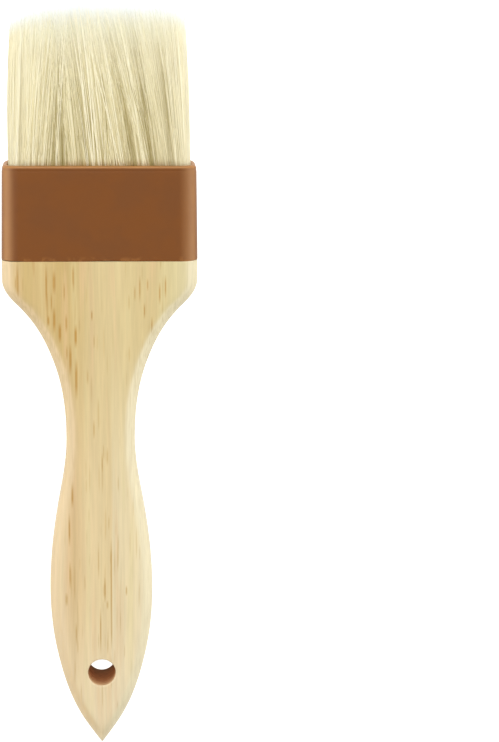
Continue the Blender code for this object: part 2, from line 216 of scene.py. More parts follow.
def makeWood(d):
    material, tree, shader = newMaterial("lacquered rubberwood")
    place = addNode(tree, "ShaderNodeTexCoord").outputs["Object"]
    x, y, z = addNode(tree, "ShaderNodeSeparateXYZ", {0: place}).outputs

    # the grain wanders a little across the board
    wander = addNode(tree, "ShaderNodeTexNoise", {
        "Vector": addNode(tree, "ShaderNodeMapping", {"Vector": place, "Scale": d["wanderWaves"]}),
        "Scale": 1.0, "Detail": 1.0})
    wobble = addNode(tree, "ShaderNodeMapRange", {0: wander, 3: -d["wander"] * mm, 4: d["wander"] * mm})
    acrossGrain = addNode(tree, "ShaderNodeMath", {0: x, 1: wobble}, operation="ADD")
    board = addNode(tree, "ShaderNodeCombineXYZ", {0: acrossGrain, 1: y, 2: z})

    # noise drawn out into lines along the grain
    noise = {}
    for number, (name, (width, length, detail, low, high)) in enumerate(d["grains"].items()):
        stretched = addNode(tree, "ShaderNodeMapping", {
            "Vector": board, "Location": (2.3 * number, 5.1 * number, 0.0),
            "Scale": (1 / (width * mm), 1 / (length * mm), 0.7 / (width * mm))})
        noise[name] = addNode(tree, "ShaderNodeTexNoise", {
            "Vector": stretched, "Scale": 1.0, "Detail": detail})

    depth = addNode(tree, "ShaderNodeMath", {0: z, 1: midZ}, operation="SUBTRACT")
    depth = addNode(tree, "ShaderNodeMath", {0: depth}, operation="ABSOLUTE")
    sources = {"x": x, "y": y, "depth": depth, **noise}
    masks = {}
    for name, (source, start, full, low, high) in d["masks"].items():
        masks[name] = addNode(tree, "ShaderNodeMapRange", {
            0: sources[source], 1: start, 2: full, 3: low, 4: high}, interpolation_type="SMOOTHSTEP")

    # the board's own bands, one set for the head and one for the grip
    bands = []
    for stops in (d["gripBands"], d["headBands"]):
        first, last = stops[0][0], stops[-1][0]
        across = addNode(tree, "ShaderNodeMapRange", {0: acrossGrain, 1: first * mm, 2: last * mm})
        placed = [((at - first) / (last - first), fromHex(colour)) for at, colour in stops]
        bands.append(addNode(tree, "ShaderNodeValToRGB", {0: across}, placed))
    base = addNode(tree, "ShaderNodeMix", {0: masks["head"], 6: bands[0], 7: bands[1]}, data_type="RGBA")

    # each layer is a colour and the masks that are multiplied to give its share
    layers = [
        (fromHex(d["pointEnd"]), [masks["point"]]),
        (fromHex(d["green"]), [masks["green"]]),
        (fromHex(d["pink"]), [masks["pink"]]),
    ]
    for number, (width, length, empty, darkness) in enumerate(d["vessels"]):
        # a thin ellipse in each cell that isn't left empty
        stretched = addNode(tree, "ShaderNodeMapping", {
            "Vector": board, "Location": (5.7 + 3.4 * number, 5.7 + 3.4 * number, 0.0),
            "Scale": (1 / (width * mm), 1 / (length * mm), 0.7 / (width * mm))})
        cells = addNode(tree, "ShaderNodeTexVoronoi", {"Vector": stretched, "Scale": 1.0})
        core = addNode(tree, "ShaderNodeMapRange", {0: cells.outputs["Distance"], 1: 0.36, 2: 0.2})
        lot = addNode(tree, "ShaderNodeSeparateColor", {0: cells.outputs["Color"]})
        pick = addNode(tree, "ShaderNodeMapRange", {0: lot, 1: empty, 2: 1.0})
        layers.append((fromHex(d["vessel"]), [core, pick, darkness]))
    # a long line is soft at its sides, and fades over a third of its length or 6 mm at most
    for at, low, high, half, darkness in d["lines"]:
        off = addNode(tree, "ShaderNodeMath", {0: x, 1: at * mm}, operation="SUBTRACT")
        off = addNode(tree, "ShaderNodeMath", {0: off}, operation="ABSOLUTE")
        thin = addNode(tree, "ShaderNodeMapRange", {0: off, 1: 1.15 * half * mm, 2: 0.5 * half * mm})
        fade = min(0.35 * (high - low), 6.0)
        above = addNode(tree, "ShaderNodeMapRange", {0: y, 1: low * mm, 2: (low + fade) * mm})
        below = addNode(tree, "ShaderNodeMapRange", {0: y, 1: high * mm, 2: (high - fade) * mm})
        layers.append((fromHex(d["vessel"]), [thin, above, below, masks["broken"], darkness]))
    edge = addNode(tree, "ShaderNodeMix", {
        0: masks["right"], 6: fromHex(d["leftEdge"]), 7: fromHex(d["rightEdge"])}, data_type="RGBA")
    layers.append((edge, [masks["edge"], masks["patchy"]]))
    for colour, parts in layers:
        share = parts[0]
        for part in parts[1:]:
            share = addNode(tree, "ShaderNodeMath", {0: share, 1: part}, operation="MULTIPLY")
        base = addNode(tree, "ShaderNodeMix", {0: share, 6: base, 7: colour}, data_type="RGBA")
    for name, (width, length, detail, low, high) in d["grains"].items():
        shade = addNode(tree, "ShaderNodeMapRange", {0: noise[name], 1: 0.32, 2: 0.68, 3: low, 4: high},
                        interpolation_type="SMOOTHSTEP")
        base = addNode(tree, "ShaderNodeMix", {0: 1.0, 6: base, 7: shade},
                       data_type="RGBA", blend_type="MULTIPLY")

    bump = addNode(tree, "ShaderNodeBump", {
        "Strength": 0.35, "Distance": 0.02 * mm, "Height": noise["fibres"]})
    finish(tree, shader, base, bump, {
        "Roughness": 0.45, "IOR": 1.5, "Coat Weight": 0.2, "Coat Roughness": 0.25})
    return material


# end grain inside the hang hole: dark brown, with painted shade that darkens it towards the back of the hole,
# and a painted highlight that makes it paler at the eased front edge
bore = {
    # share of the way from the back of the handle to its front: the darker stops at the back are painted
    # shade deep in the hole, and the palest at the front are a painted highlight on the eased edge
    "stops": ((0.0, "#8c6b50"), (0.3, "#bf8a62"), (0.6, "#cc9163"), (0.75, "#c38e63"), (0.88, "#c2976e"),
              (1.0, "#d2b48c")),
    "ring": 0.35,  # mm between the drill's rings
    "patch": 2.5,  # mm over which a ring fades in and out
}


def makeBore(d):
    material, tree, shader = newMaterial("end grain with painted hole shade")
    place = addNode(tree, "ShaderNodeTexCoord").outputs["Object"]
    spot = addNode(tree, "ShaderNodeSeparateXYZ", {0: place})
    along = addNode(tree, "ShaderNodeMapRange", {0: spot.outputs[2], 1: handleLow.z, 2: handleHigh.z})
    stops = [(at, fromHex(colour)) for at, colour in d["stops"]]
    # painted shade and highlight: the wall darkens towards the back of the hole
    grainAndShade = addNode(tree, "ShaderNodeValToRGB", {0: along}, stops)
    scale = (1 / (d["patch"] * mm), 1 / (d["patch"] * mm), 1 / (d["ring"] * mm))
    flattened = addNode(tree, "ShaderNodeMapping", {"Vector": place, "Scale": scale})
    rings = addNode(tree, "ShaderNodeTexNoise", {"Vector": flattened, "Scale": 1.0, "Detail": 2.0})
    shade = addNode(tree, "ShaderNodeMapRange", {0: rings, 1: 0.3, 2: 0.7, 3: 0.75, 4: 1.15})
    base = addNode(tree, "ShaderNodeMix", {0: 1.0, 6: grainAndShade, 7: shade},
                   data_type="RGBA", blend_type="MULTIPLY")
    bump = addNode(tree, "ShaderNodeBump", {"Strength": 0.4, "Distance": 0.05 * mm, "Height": rings})
    finish(tree, shader, base, bump, {"Roughness": 0.95, "Specular IOR Level": 0.0})
    return material


# handle: a paddle cut from a board and rounded along all its edges
handle = {
    # distance from the point, half width there, and how fast the half width grows
    "outline": (
        (0.0 * mm, 0.4 * mm, 0.72),
        (9.1 * mm, 6.45 * mm, 0.54),
        (25.6 * mm, 12.35 * mm, 0.24),
        (47.3 * mm, 14.8 * mm, 0.0),
        (76.2 * mm, 11.5 * mm, -0.19),
        (92.4 * mm, 9.8 * mm, 0.0),
        (115.4 * mm, 13.5 * mm, 0.38),
        (131.2 * mm, 23.4 * mm, 1.03),
        (138.3 * mm, 27.5 * mm, 0.0),
        (144.2 * mm, 27.5 * mm, 0.0),
    ),
    "edgeRound": 3.6 * mm,
    "edgeReach": 4.3 * mm,  # how far in from the side the rounding starts
    "step": 0.6 * mm,  # between slices
    "crowding": 1.15,  # slices are closer together at the point
    "shoulderEase": 0.1 * mm,
    "easeSteps": 4,
    "gap": 0.03 * mm,  # between shoulder and ferrule
    "tenonHalfWidth": 25.4 * mm,
    "tenonThickness": 10.6 * mm,
    "tenonCorner": 1.9 * mm,
    "tenonEase": 0.4 * mm,
    "holeFromPoint": 22.2 * mm,
    "holeRadius": 4.0 * mm,
    "holeEase": 0.4 * mm,
    "sharp": 40,  # degrees past which an edge is left sharp
}


def outlineAt(outline, distance):
    # half width and slope on a smooth curve through the outline's points
    for (s0, w0, m0), (s1, w1, m1) in zip(outline, outline[1:]):
        if distance <= s1:
            break
    span = s1 - s0
    t = min((distance - s0) / span, 1.0)
    width = ((2 * t**3 - 3 * t**2 + 1) * w0 + (t**3 - 2 * t**2 + t) * span * m0
             + (3 * t**2 - 2 * t**3) * w1 + (t**3 - t**2) * span * m1)
    slope = (6 * t**2 - 6 * t) * (w0 - w1) / span + (3 * t**2 - 4 * t + 1) * m0 + (3 * t**2 - 2 * t) * m1
    return width, slope


def roundedRing(halfWidth, halfDepth, reachX, reachZ, y, arcSteps=10, flatSteps=5, sideSteps=3):
    # one quarter of a rounded rectangle, then its three mirror images
    last = math.acos(max(0.0, 1 - halfWidth / reachX))
    quarter = [(halfWidth, (halfDepth - reachZ) * i / sideSteps) for i in range(sideSteps)]
    for i in range(arcSteps + 1):
        turn = last * i / arcSteps
        quarter.append((max(0.0, halfWidth - reachX * (1 - math.cos(turn))),
                        halfDepth - reachZ + reachZ * math.sin(turn)))
    # a support loop just inside the rounding keeps the flat face flat
    edgeX, edgeZ = quarter[-1]
    support = max(0.0, edgeX - 0.25 * mm)
    quarter += [(support * (1 - i / flatSteps), edgeZ) for i in range(flatSteps)]
    top = quarter + [(0.0, edgeZ)] + [(-x, z) for x, z in reversed(quarter)]
    bottom = [(x, -z) for x, z in reversed(top)]
    ring = top + bottom[1:-1]
    return [(x, y, midZ + z) for x, z in ring]


def loft(name, rings, closed=False):
    # skins the rings in order, then caps the two ends or joins the last ring to the first
    work = bmesh.new()
    made = [[work.verts.new(point) for point in ring] for ring in rings]
    count = len(made[0])
    for low, high in zip(made, made[1:] + made[:1] if closed else made[1:]):
        for i in range(count):
            j = (i + 1) % count
            work.faces.new((low[i], low[j], high[j], high[i]))
    if not closed:
        work.faces.new(made[0])
        work.faces.new(list(reversed(made[-1])))
    bmesh.ops.remove_doubles(work, verts=work.verts, dist=0.002 * mm)
    bmesh.ops.recalc_face_normals(work, faces=work.faces)
    mesh = bpy.data.meshes.new(name)
    work.to_mesh(mesh)
    work.free()
    return mesh


def makeSpool(name, radius, ease, depth):
    # a turned cutter that drills the hole and rounds both of its edges
    steps = 6
    far = depth + 2 * mm  # past the handle's faces
    wide = radius + ease + 1 * mm
    profile = [(0.0, far), (wide, far), (wide, depth)]
    for i in range(steps + 1):
        turn = math.pi / 2 * i / steps
        profile.append((radius + ease * (1 - math.sin(turn)), depth - ease * (1 - math.cos(turn))))
    profile += [(x, -z) for x, z in reversed(profile)]
    mesh = bpy.data.meshes.new(name)
    mesh.from_pydata([(x, 0.0, z) for x, z in profile], [(i, i + 1) for i in range(len(profile) - 1)], [])
    spool = addPiece(name, mesh)
    screw = spool.modifiers.new("turn", "SCREW")
    screw.steps = screw.render_steps = 72
    screw.use_merge_vertices = True
    screw.merge_threshold = 0.002 * mm
    return spool


def makeHandle(d):
    rings = []
    length = shoulderY - pointY - d["gap"]
    count = round(length / d["step"])
    halfDepth = handleHigh.z - midZ
    for i in range(count + 1):
        distance = (length - d["shoulderEase"]) * (i / count) ** d["crowding"]
        width, slope = outlineAt(d["outline"], distance)
        reach = d["edgeReach"] * math.sqrt(1 + slope**2)
        rings.append(roundedRing(width, halfDepth, reach, d["edgeRound"], pointY + distance))
    ease = d["shoulderEase"]
    for i in range(1, d["easeSteps"] + 1):
        turn = math.pi / 2 * i / d["easeSteps"]
        inset = ease * (1 - math.cos(turn))
        y = pointY + length - ease * (1 - math.sin(turn))
        rings.append(roundedRing(width - inset, halfDepth - inset, d["edgeReach"], d["edgeRound"], y))
    tenonEnd, ease, corner = handleHigh.y, d["tenonEase"], d["tenonCorner"]
    for y, inset in ((pointY + length, 0.0), (tenonEnd - ease, 0.0), (tenonEnd, ease)):
        halfWidth = d["tenonHalfWidth"] - inset
        rings.append(roundedRing(halfWidth, d["tenonThickness"] / 2 - inset, corner, corner, y))
    piece = addPiece("wooden_handle", loft("wooden_handle", rings))

    spool = makeSpool("hole_cutter", d["holeRadius"], d["holeEase"], halfDepth)
    spool.location = (0.0, pointY + d["holeFromPoint"], midZ)
    drill = piece.modifiers.new("hang hole", "BOOLEAN")
    drill.object = spool
    drill.solver = "EXACT"
    toPlainMesh(piece)
    bpy.data.objects.remove(spool)
    piece.data.shade_smooth()
    piece.data.set_sharp_from_angle(angle=math.radians(d["sharp"]))
    weigh = piece.modifiers.new("flat faces stay flat", "WEIGHTED_NORMAL")
    weigh.keep_sharp = True
    toPlainMesh(piece)
    piece.data.materials.clear()
    piece.data.materials.append(makeWood(wood))
    piece.data.materials.append(makeBore(bore))
    for face in piece.data.polygons:
        fromAxis = math.hypot(face.center.x, face.center.y - pointY - d["holeFromPoint"])
        face.material_index = 1 if fromAxis < d["holeRadius"] + 0.02 * mm else 0
    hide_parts("handle")
    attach(piece, "brush_body")


makeHandle(handle)
print("handle made")

# satin brown ABS: injection moulded in a fine-sparked mould, so it has a soft sheen and a faint grain
plastic = {
    "colour": "#724010",
    "deep": "#6d3d0e",
    "paintedHighlight": "#a3703a",  # painted highlight on its long rounded corners and on its rim, where the light catches them
    "scuff": "#96612c",  # along its lower edge, where the mould's flash was trimmed off
    "grain": 0.7 * mm,  # the mould's own grain is too fine to show, so it is drawn coarser
    "cloud": 9.0 * mm,  # size of its cloudy patches
    "dents": 2.2 * mm,  # and of the scuffs
    # soft masks: what each one follows, where it starts and where it is full, and its strength at both
    "masks": {
        "cloudy": ("cloud", 0.35, 0.65, 0.0, 1.0),
        # the two corner masks, the brink and the rim place the painted highlight; the brink dims it again at
        # the very edge
        "leftCorner": ("x", -23.2 * mm, -26.2 * mm, 0.0, 0.95),
        "rightCorner": ("x", 21.8 * mm, 27.0 * mm, 0.0, 0.85),
        "brink": ("side", 27.4 * mm, 26.2 * mm, 0.3, 1.0),
        "rim": ("y", mouthY - 0.75 * mm, mouthY - 0.3 * mm, 0.0, 1.0),
        "patchy": ("cloud", 0.25, 0.75, 0.75, 1.0),
        "hem": ("y", shoulderY + 1.7 * mm, shoulderY + 0.4 * mm, 0.0, 0.4),
        "dented": ("dents", 0.5, 0.64, 0.0, 1.0),
        "rough": ("cloud", 0.3, 0.7, 0.36, 0.44),  # the roughness itself
    },
    # each layer is a colour and the masks that are multiplied to give its share
    "layers": (
        ("scuff", ("hem", "dented")),
        # painted highlight: the long rounded corners and the mouth's rim are made paler, as where the light
        # catches them
        ("paintedHighlight", ("leftCorner", "brink", "patchy")),
        ("paintedHighlight", ("rightCorner", "brink", "patchy")),
        ("paintedHighlight", ("rim", "patchy")),
    ),
}


def makePlastic(d):
    material, tree, shader = newMaterial("moulded brown plastic")
    place = addNode(tree, "ShaderNodeTexCoord").outputs["Object"]
    x, y, _ = addNode(tree, "ShaderNodeSeparateXYZ", {0: place}).outputs
    sources = {"x": x, "y": y, "side": addNode(tree, "ShaderNodeMath", {0: x}, operation="ABSOLUTE")}
    for name, detail in (("cloud", 4.0), ("grain", 1.0), ("dents", 2.0)):
        sources[name] = addNode(tree, "ShaderNodeTexNoise", {
            "Vector": place, "Scale": 1 / d[name], "Detail": detail})
    masks = {}
    for name, (source, start, full, low, high) in d["masks"].items():
        masks[name] = addNode(tree, "ShaderNodeMapRange", {
            0: sources[source], 1: start, 2: full, 3: low, 4: high}, interpolation_type="SMOOTHSTEP")
    base = addNode(tree, "ShaderNodeMix", {
        0: masks["cloudy"], 6: fromHex(d["colour"]), 7: fromHex(d["deep"])}, data_type="RGBA")
    for colour, parts in d["layers"]:
        share = masks[parts[0]]
        for part in parts[1:]:
            share = addNode(tree, "ShaderNodeMath", {0: share, 1: masks[part]}, operation="MULTIPLY")
        base = addNode(tree, "ShaderNodeMix", {0: share, 6: base, 7: fromHex(d[colour])}, data_type="RGBA")
    tree.links.new(masks["rough"].outputs[0], shader.inputs["Roughness"])
    bump = addNode(tree, "ShaderNodeBump", {
        "Strength": 0.2, "Distance": 0.01 * mm, "Height": sources["grain"]})
    finish(tree, shader, base, bump, {"IOR": 1.5, "Specular IOR Level": 0.4})
    return material


# ferrule: one moulded sleeve with a narrow bead round its mouth
ferrule = {
    "taper": 0.8 * mm,  # how much narrower it is at its mouth
    "thickness": 14.0 * mm,
    "cornerReach": 4.6 * mm,
    "cornerRound": 3.6 * mm,
    "wall": 1.4 * mm,
    "rimRound": 0.6 * mm,
    "hemRound": 0.2 * mm,
    "endRound": 2.0 * mm,  # the mouth's two narrow ends roll in over this length, most at the back
    "rollFrom": 21.0 * mm,  # distance from the middle at which they start to
    "rollOut": 1.4 * mm,  # how far the outer wall rolls in, and the inner one
    "rollIn": 0.6 * mm,
    "bead": 1.35 * mm,  # the bead's width; a shallow groove lies under it
    "groove": 0.09 * mm,
    "lipRound": 0.3 * mm,  # on the inner edges
    "turnSteps": 5,  # slices round each edge
    "edgeWave": 0.16 * mm,  # how far the lower edge wanders, over this length of sleeve
    "waveReach": 2.5 * mm,
    "waveSizes": (3.1 * mm, 7.7 * mm),
}


def ferruleRing(d, y, inset, wave=0.0):
    along = (y - shoulderY) / (mouthY - shoulderY)
    width = ferruleHigh.x - ferruleLow.x - d["taper"] * along
    least = 0.3 * mm  # radius left on an inner corner
    reach = max(d["cornerReach"] - inset, least)
    corner = max(d["cornerRound"] - inset, least)
    ring = roundedRing(width / 2 - inset, d["thickness"] / 2 - inset, reach, corner, y,
                       flatSteps=24, sideSteps=4)
    over = max(0.0, 1 - (mouthY - y) / d["endRound"])
    roll = (d["rollOut"] if inset < d["wall"] / 2 else d["rollIn"]) * (1 - math.sqrt(1 - over**2))
    shaped = []
    for x, atY, z in ring:
        # only the two ends roll in, and the back more than the front
        end = max(0.0, (abs(x) - d["rollFrom"]) / (width / 2 - d["rollFrom"]))
        back = 0.2 + 0.8 * (ferruleHigh.z - z) / d["thickness"]
        ripple = wave * math.sin(x / d["waveSizes"][0] + 0.7) * math.cos(x / d["waveSizes"][1])
        shaped.append((x - math.copysign(roll * end * back, x), atY + ripple, z))
    return shaped


def makeFerrule(d):
    # the wall's outline: place along the brush, and how far in from the full section; plain points
    # beside the groove and the roundings hold the flat walls flat
    turns = [math.pi / 2 * i / d["turnSteps"] for i in range(d["turnSteps"] + 1)]
    hem, rim, lip, wall, groove = d["hemRound"], d["rimRound"], d["lipRound"], d["wall"], d["groove"]
    bead = mouthY - d["bead"]
    outer = [(shoulderY + hem * (1 - math.sin(t)), hem * (1 - math.cos(t))) for t in reversed(turns)]
    outer += [(shoulderY + 2 * mm, 0.0), (mouthY - 6 * mm, 0.0), (bead - 0.45 * mm, 0.0)]
    outer += [(bead - 0.2 * mm, 0.6 * groove), (bead, groove), (bead + 0.2 * mm, 0.4 * groove)]
    outer += [(bead + 0.4 * mm, 0.0)]
    outer += [(mouthY - rim * (1 - math.sin(t)), rim * (1 - math.cos(t))) for t in turns]
    inner = [(mouthY - lip * (1 - math.sin(t)), wall - lip * (1 - math.cos(t))) for t in reversed(turns)]
    inner += [(shoulderY + lip * (1 - math.sin(t)), wall - lip * (1 - math.cos(t))) for t in turns]
    rings = []
    for y, inset in outer + inner:
        near = max(0.0, 1 - (y - shoulderY) / d["waveReach"])
        rings.append(ferruleRing(d, y, inset, d["edgeWave"] * near))
    mesh = loft("plastic_ferrule", rings, closed=True)
    mesh.shade_smooth()
    piece = addPiece("plastic_ferrule", mesh, makePlastic(plastic))
    weigh = piece.modifiers.new("flat faces stay flat", "WEIGHTED_NORMAL")
    weigh.keep_sharp = True
    toPlainMesh(piece)
    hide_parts("ferrule")
    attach(piece, "brush_body")


makeFerrule(ferrule)
print("ferrule made")

# boar hair: washed and bleached; tan at the root, which is painted shade and a painted brown reflection of
# the ferrule, khaki above it, and almost white at the flagged tip, partly its own paler colour and partly
# painted light through the thin tips
hair = {
    # share of the way to the trim line, and the paler hairs' colour, with painted shade at the root and
    # painted light towards the tip
    "pale": ((0.0, "#94602f"), (0.025, "#bb935c"), (0.06, "#dfd4ab"), (0.38, "#e6deba"), (0.66, "#e8e2c6"),
             (0.8, "#e9e7d3"), (0.88, "#ecece2"), (0.94, "#eff2f2"), (1.0, "#f6f9fd")),
    "dark": "#978544",
    # how much of the darker colour the darkest hairs take; it is largest low in the tuft, where it is partly
    # their own tone and partly painted shade between the hairs
    "darkShare": ((0.0, 0.3), (0.05, 0.92), (0.4, 0.8), (0.7, 0.42), (0.85, 0.16), (0.94, 0.04), (1.0, 0.0)),
    "sideLitAndWorn": "#f0ead0",  # the hairs at the two sides: paler from painted light, as more light falls on them there, and from wear
}


def makeHair(d):
    material, tree, shader = newMaterial("natural boar hair")
    kept = {}
    for name in ("along", "tone", "bleach"):
        kept[name] = addNode(tree, "ShaderNodeAttribute", attribute_name=name).outputs["Fac"]
    colours = [(at, fromHex(colour)) for at, colour in d["pale"]]
    pale = addNode(tree, "ShaderNodeValToRGB", {0: kept["along"]}, colours)
    greys = [(at, (value, value, value, 1.0)) for at, value in d["darkShare"]]
    share = addNode(tree, "ShaderNodeValToRGB", {0: kept["along"]}, greys)
    # squared, so that few hairs are dark, and those are very dark
    darkness = addNode(tree, "ShaderNodeMapRange", {0: kept["tone"], 3: 1.0, 4: 0.0})
    darkness = addNode(tree, "ShaderNodeMath", {0: darkness, 1: 2.0}, operation="POWER")
    # the palest hairs are nearly white as well; the sides' painted light and wear fade out at the root and at
    # the tip
    palest = addNode(tree, "ShaderNodeMapRange", {0: kept["tone"], 1: 0.6, 2: 1.0, 3: 0.0, 4: 0.9})
    whitened = addNode(tree, "ShaderNodeMath", {0: kept["bleach"], 1: palest}, operation="MAXIMUM")
    for start, full, low, high in ((0.0, 0.07, 0.0, 1.0), (0.85, 1.0, 1.0, 0.0)):
        reached = addNode(tree, "ShaderNodeMapRange", {0: kept["along"], 1: start, 2: full, 3: low, 4: high})
        whitened = addNode(tree, "ShaderNodeMath", {0: whitened, 1: reached}, operation="MULTIPLY")
    amount = addNode(tree, "ShaderNodeMath", {0: share, 1: darkness}, operation="MULTIPLY")
    spared = addNode(tree, "ShaderNodeMapRange", {0: kept["bleach"], 3: 1.0, 4: 0.45})
    amount = addNode(tree, "ShaderNodeMath", {0: amount, 1: spared}, operation="MULTIPLY")
    base = addNode(tree, "ShaderNodeMix", {0: whitened, 6: pale, 7: fromHex(d["sideLitAndWorn"])}, data_type="RGBA")
    base = addNode(tree, "ShaderNodeMix", {0: amount, 6: base, 7: fromHex(d["dark"])}, data_type="RGBA")
    finish(tree, shader, base, None, {"Roughness": 0.5, "IOR": 1.55, "Specular IOR Level": 0.3})
    return material


# bristles: every hair is its own tapered, slightly bent strand, packed into two rows
bristles = {
    "width": 50.6 * mm,
    "thickness": 10.7 * mm,
    "corner": 1.7 * mm,
    "density": 28.0,  # hairs in each square millimetre, before the spacing thins them out
    "spacing": 0.16 * mm,  # least distance between two roots
    "radius": 0.115 * mm,  # times the girths below; thicker than real hair, so that fewer fill the tuft
    "sides": 3,  # round each hair
    "points": 8,  # along each hair
    "curves": {
        # from the left edge to the right edge: how far the tips lean sideways, in mm,
        "lean": ((0.0, 0.8), (0.07, 2.2), (0.15, 4.4), (0.24, 3.6), (0.3, 0.5), (0.36, -4.6),
                 (0.42, -5.6), (0.58, -6.6), (0.73, -8.2), (0.85, -7.8), (0.93, -4.6), (1.0, -1.5)),
        # how much lower than the crown the trimmed ends are, in mm,
        "trim": ((0.0, 6.4), (0.03, 4.8), (0.07, 3.4), (0.12, 2.2), (0.2, 1.0), (0.5, 0.0), (0.8, 0.5),
                 (0.9, 1.1), (0.95, 2.0), (1.0, 4.2)),
        # and how much painted light and wear pale the hairs
        "bleach": ((0.0, 1.0), (0.04, 0.8), (0.1, 0.38), (0.2, 0.12), (0.35, 0.05), (0.6, 0.02),
                   (0.75, 0.15), (0.9, 0.4), (0.96, 0.65), (1.0, 0.8)),
    },
    "backLean": -0.4,  # share of the lean at the back face, which turns the other way
    "sideBand": (21.0 * mm, 24.5 * mm),  # from here outwards a hair leans inward right through the tuft
    "ragged": 8.0 * mm,  # the shortest hairs end this far below the trim line
    "clump": 0.6 * mm,  # how far neighbouring hairs lean together
    "clumps": ((3.6 * mm, 4.0), (1.3 * mm, 1.8)),  # size of a clump, and its share of that lean
    "clumpDepth": 0.4,  # share of that lean through the thickness
    "lock": 0.8 * mm,  # size of a lock, which shares its colour and may cross the others
    "stray": 7.0 * mm,  # how far the few crossing locks lean
    "strayBand": (24.0 * mm, 15.0 * mm),  # fewer hairs cross between these distances from the middle
    "edgeBand": 4.0 * mm,  # hairs this near the side keep it straight
    "steep": 3.4,  # strength of the noise that sends a few locks across the others, before it is cubed
    "slight": 1.4,  # how much the other locks lean by it
    "single": 0.7,  # share of the stray by which a single hair can cross
    "ownLean": 0.45 * mm,  # how far each hair leans by itself
    "bowX": 0.5 * mm,  # how far each hair bows sideways
    "bowZ": 0.4 * mm,  # and through the thickness
    "belly": 0.1,  # how much the rows swell half way up, and how much they close up at the tips
    "closing": -0.2,
    "swayCurve": 0.25,  # 0 for a straight lean and 1 for one that grows with the height squared
    "girths": (0.92, 1.7),  # most hairs are alike and a few are much thicker
    "tipGirth": 0.5,  # share of the girth left at the tip
    "tones": (0.1, 0.66),  # each hair's own tone, where 0 is the darkest and 1 the palest
    # what its lock and its clump add to that: where it starts, where it is full, and what it adds at both
    "lockTone": (-0.2, 0.2, -0.38, 0.44),
    "clumpTone": (-0.4 * mm, 0.4 * mm, -0.1, 0.2),
    "faceTone": 0.12,  # painted shade: hairs deep in the tuft stay darker, as this is added only at the brush's faces, from this share of the half thickness outwards
    "faceFrom": 0.55,
    "thickTone": 0.35,  # added for the thickest hairs
    "partingTone": -0.6,
    "partings": (-10.3 * mm, 14.6 * mm),  # where painted shade darkens the hairs, in the gaps between clumps
    "parting": (0.25 * mm, 0.7 * mm),  # half width of a parting, dark and faded
    "crowding": 1.35,  # points are closer together just above the mouth, where the colour changes
}


def scatterRoots(tree, given):
    # points spread over one row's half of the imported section, whose outer corners are round
    halfThickness = addNode(tree, "ShaderNodeMath", {0: given["Thickness"], 1: 0.5}, operation="MULTIPLY")
    halfWidth = addNode(tree, "ShaderNodeMath", {0: given["Width"], 1: 0.5}, operation="MULTIPLY")
    sheet = addNode(tree, "GeometryNodeMeshGrid", {
        "Size X": given["Width"], "Size Y": halfThickness, "Vertices X": 2, "Vertices Y": 2})
    scatter = addNode(tree, "GeometryNodeDistributePointsOnFaces", {
        "Mesh": sheet, "Distance Min": given["Spacing"], "Density Max": given["Density"],
        "Seed": given["Seed"]}, distribute_method="POISSON")
    spot = addNode(tree, "ShaderNodeSeparateXYZ", {0: addNode(tree, "GeometryNodeInputPosition")})
    shift = addNode(tree, "ShaderNodeMath", {0: halfThickness, 1: 0.5}, operation="MULTIPLY")
    depth = addNode(tree, "ShaderNodeMath", {0: spot.outputs[1], 1: shift}, operation="ADD")  # 0 at mid-plane
    overs = []
    for half, value in ((halfWidth, spot.outputs[0]), (halfThickness, depth.outputs[0])):
        edge = addNode(tree, "ShaderNodeMath", {0: half, 1: given["Corner"]}, operation="SUBTRACT")
        size = addNode(tree, "ShaderNodeMath", {0: value}, operation="ABSOLUTE")
        over = addNode(tree, "ShaderNodeMath", {0: size, 1: edge}, operation="SUBTRACT")
        overs.append(addNode(tree, "ShaderNodeMath", {0: over, 1: 0.0}, operation="MAXIMUM"))
    corner = addNode(tree, "ShaderNodeCombineXYZ", {0: overs[0], 1: overs[1]})
    outside = addNode(tree, "ShaderNodeVectorMath", {0: corner}, operation="LENGTH")
    tooFar = addNode(tree, "FunctionNodeCompare", {0: outside, 1: given["Corner"]}, operation="GREATER_THAN")
    roots = addNode(tree, "GeometryNodeDeleteGeometry", {"Geometry": scatter, "Selection": tooFar})
    return roots, spot.outputs[0], depth, halfWidth, halfThickness


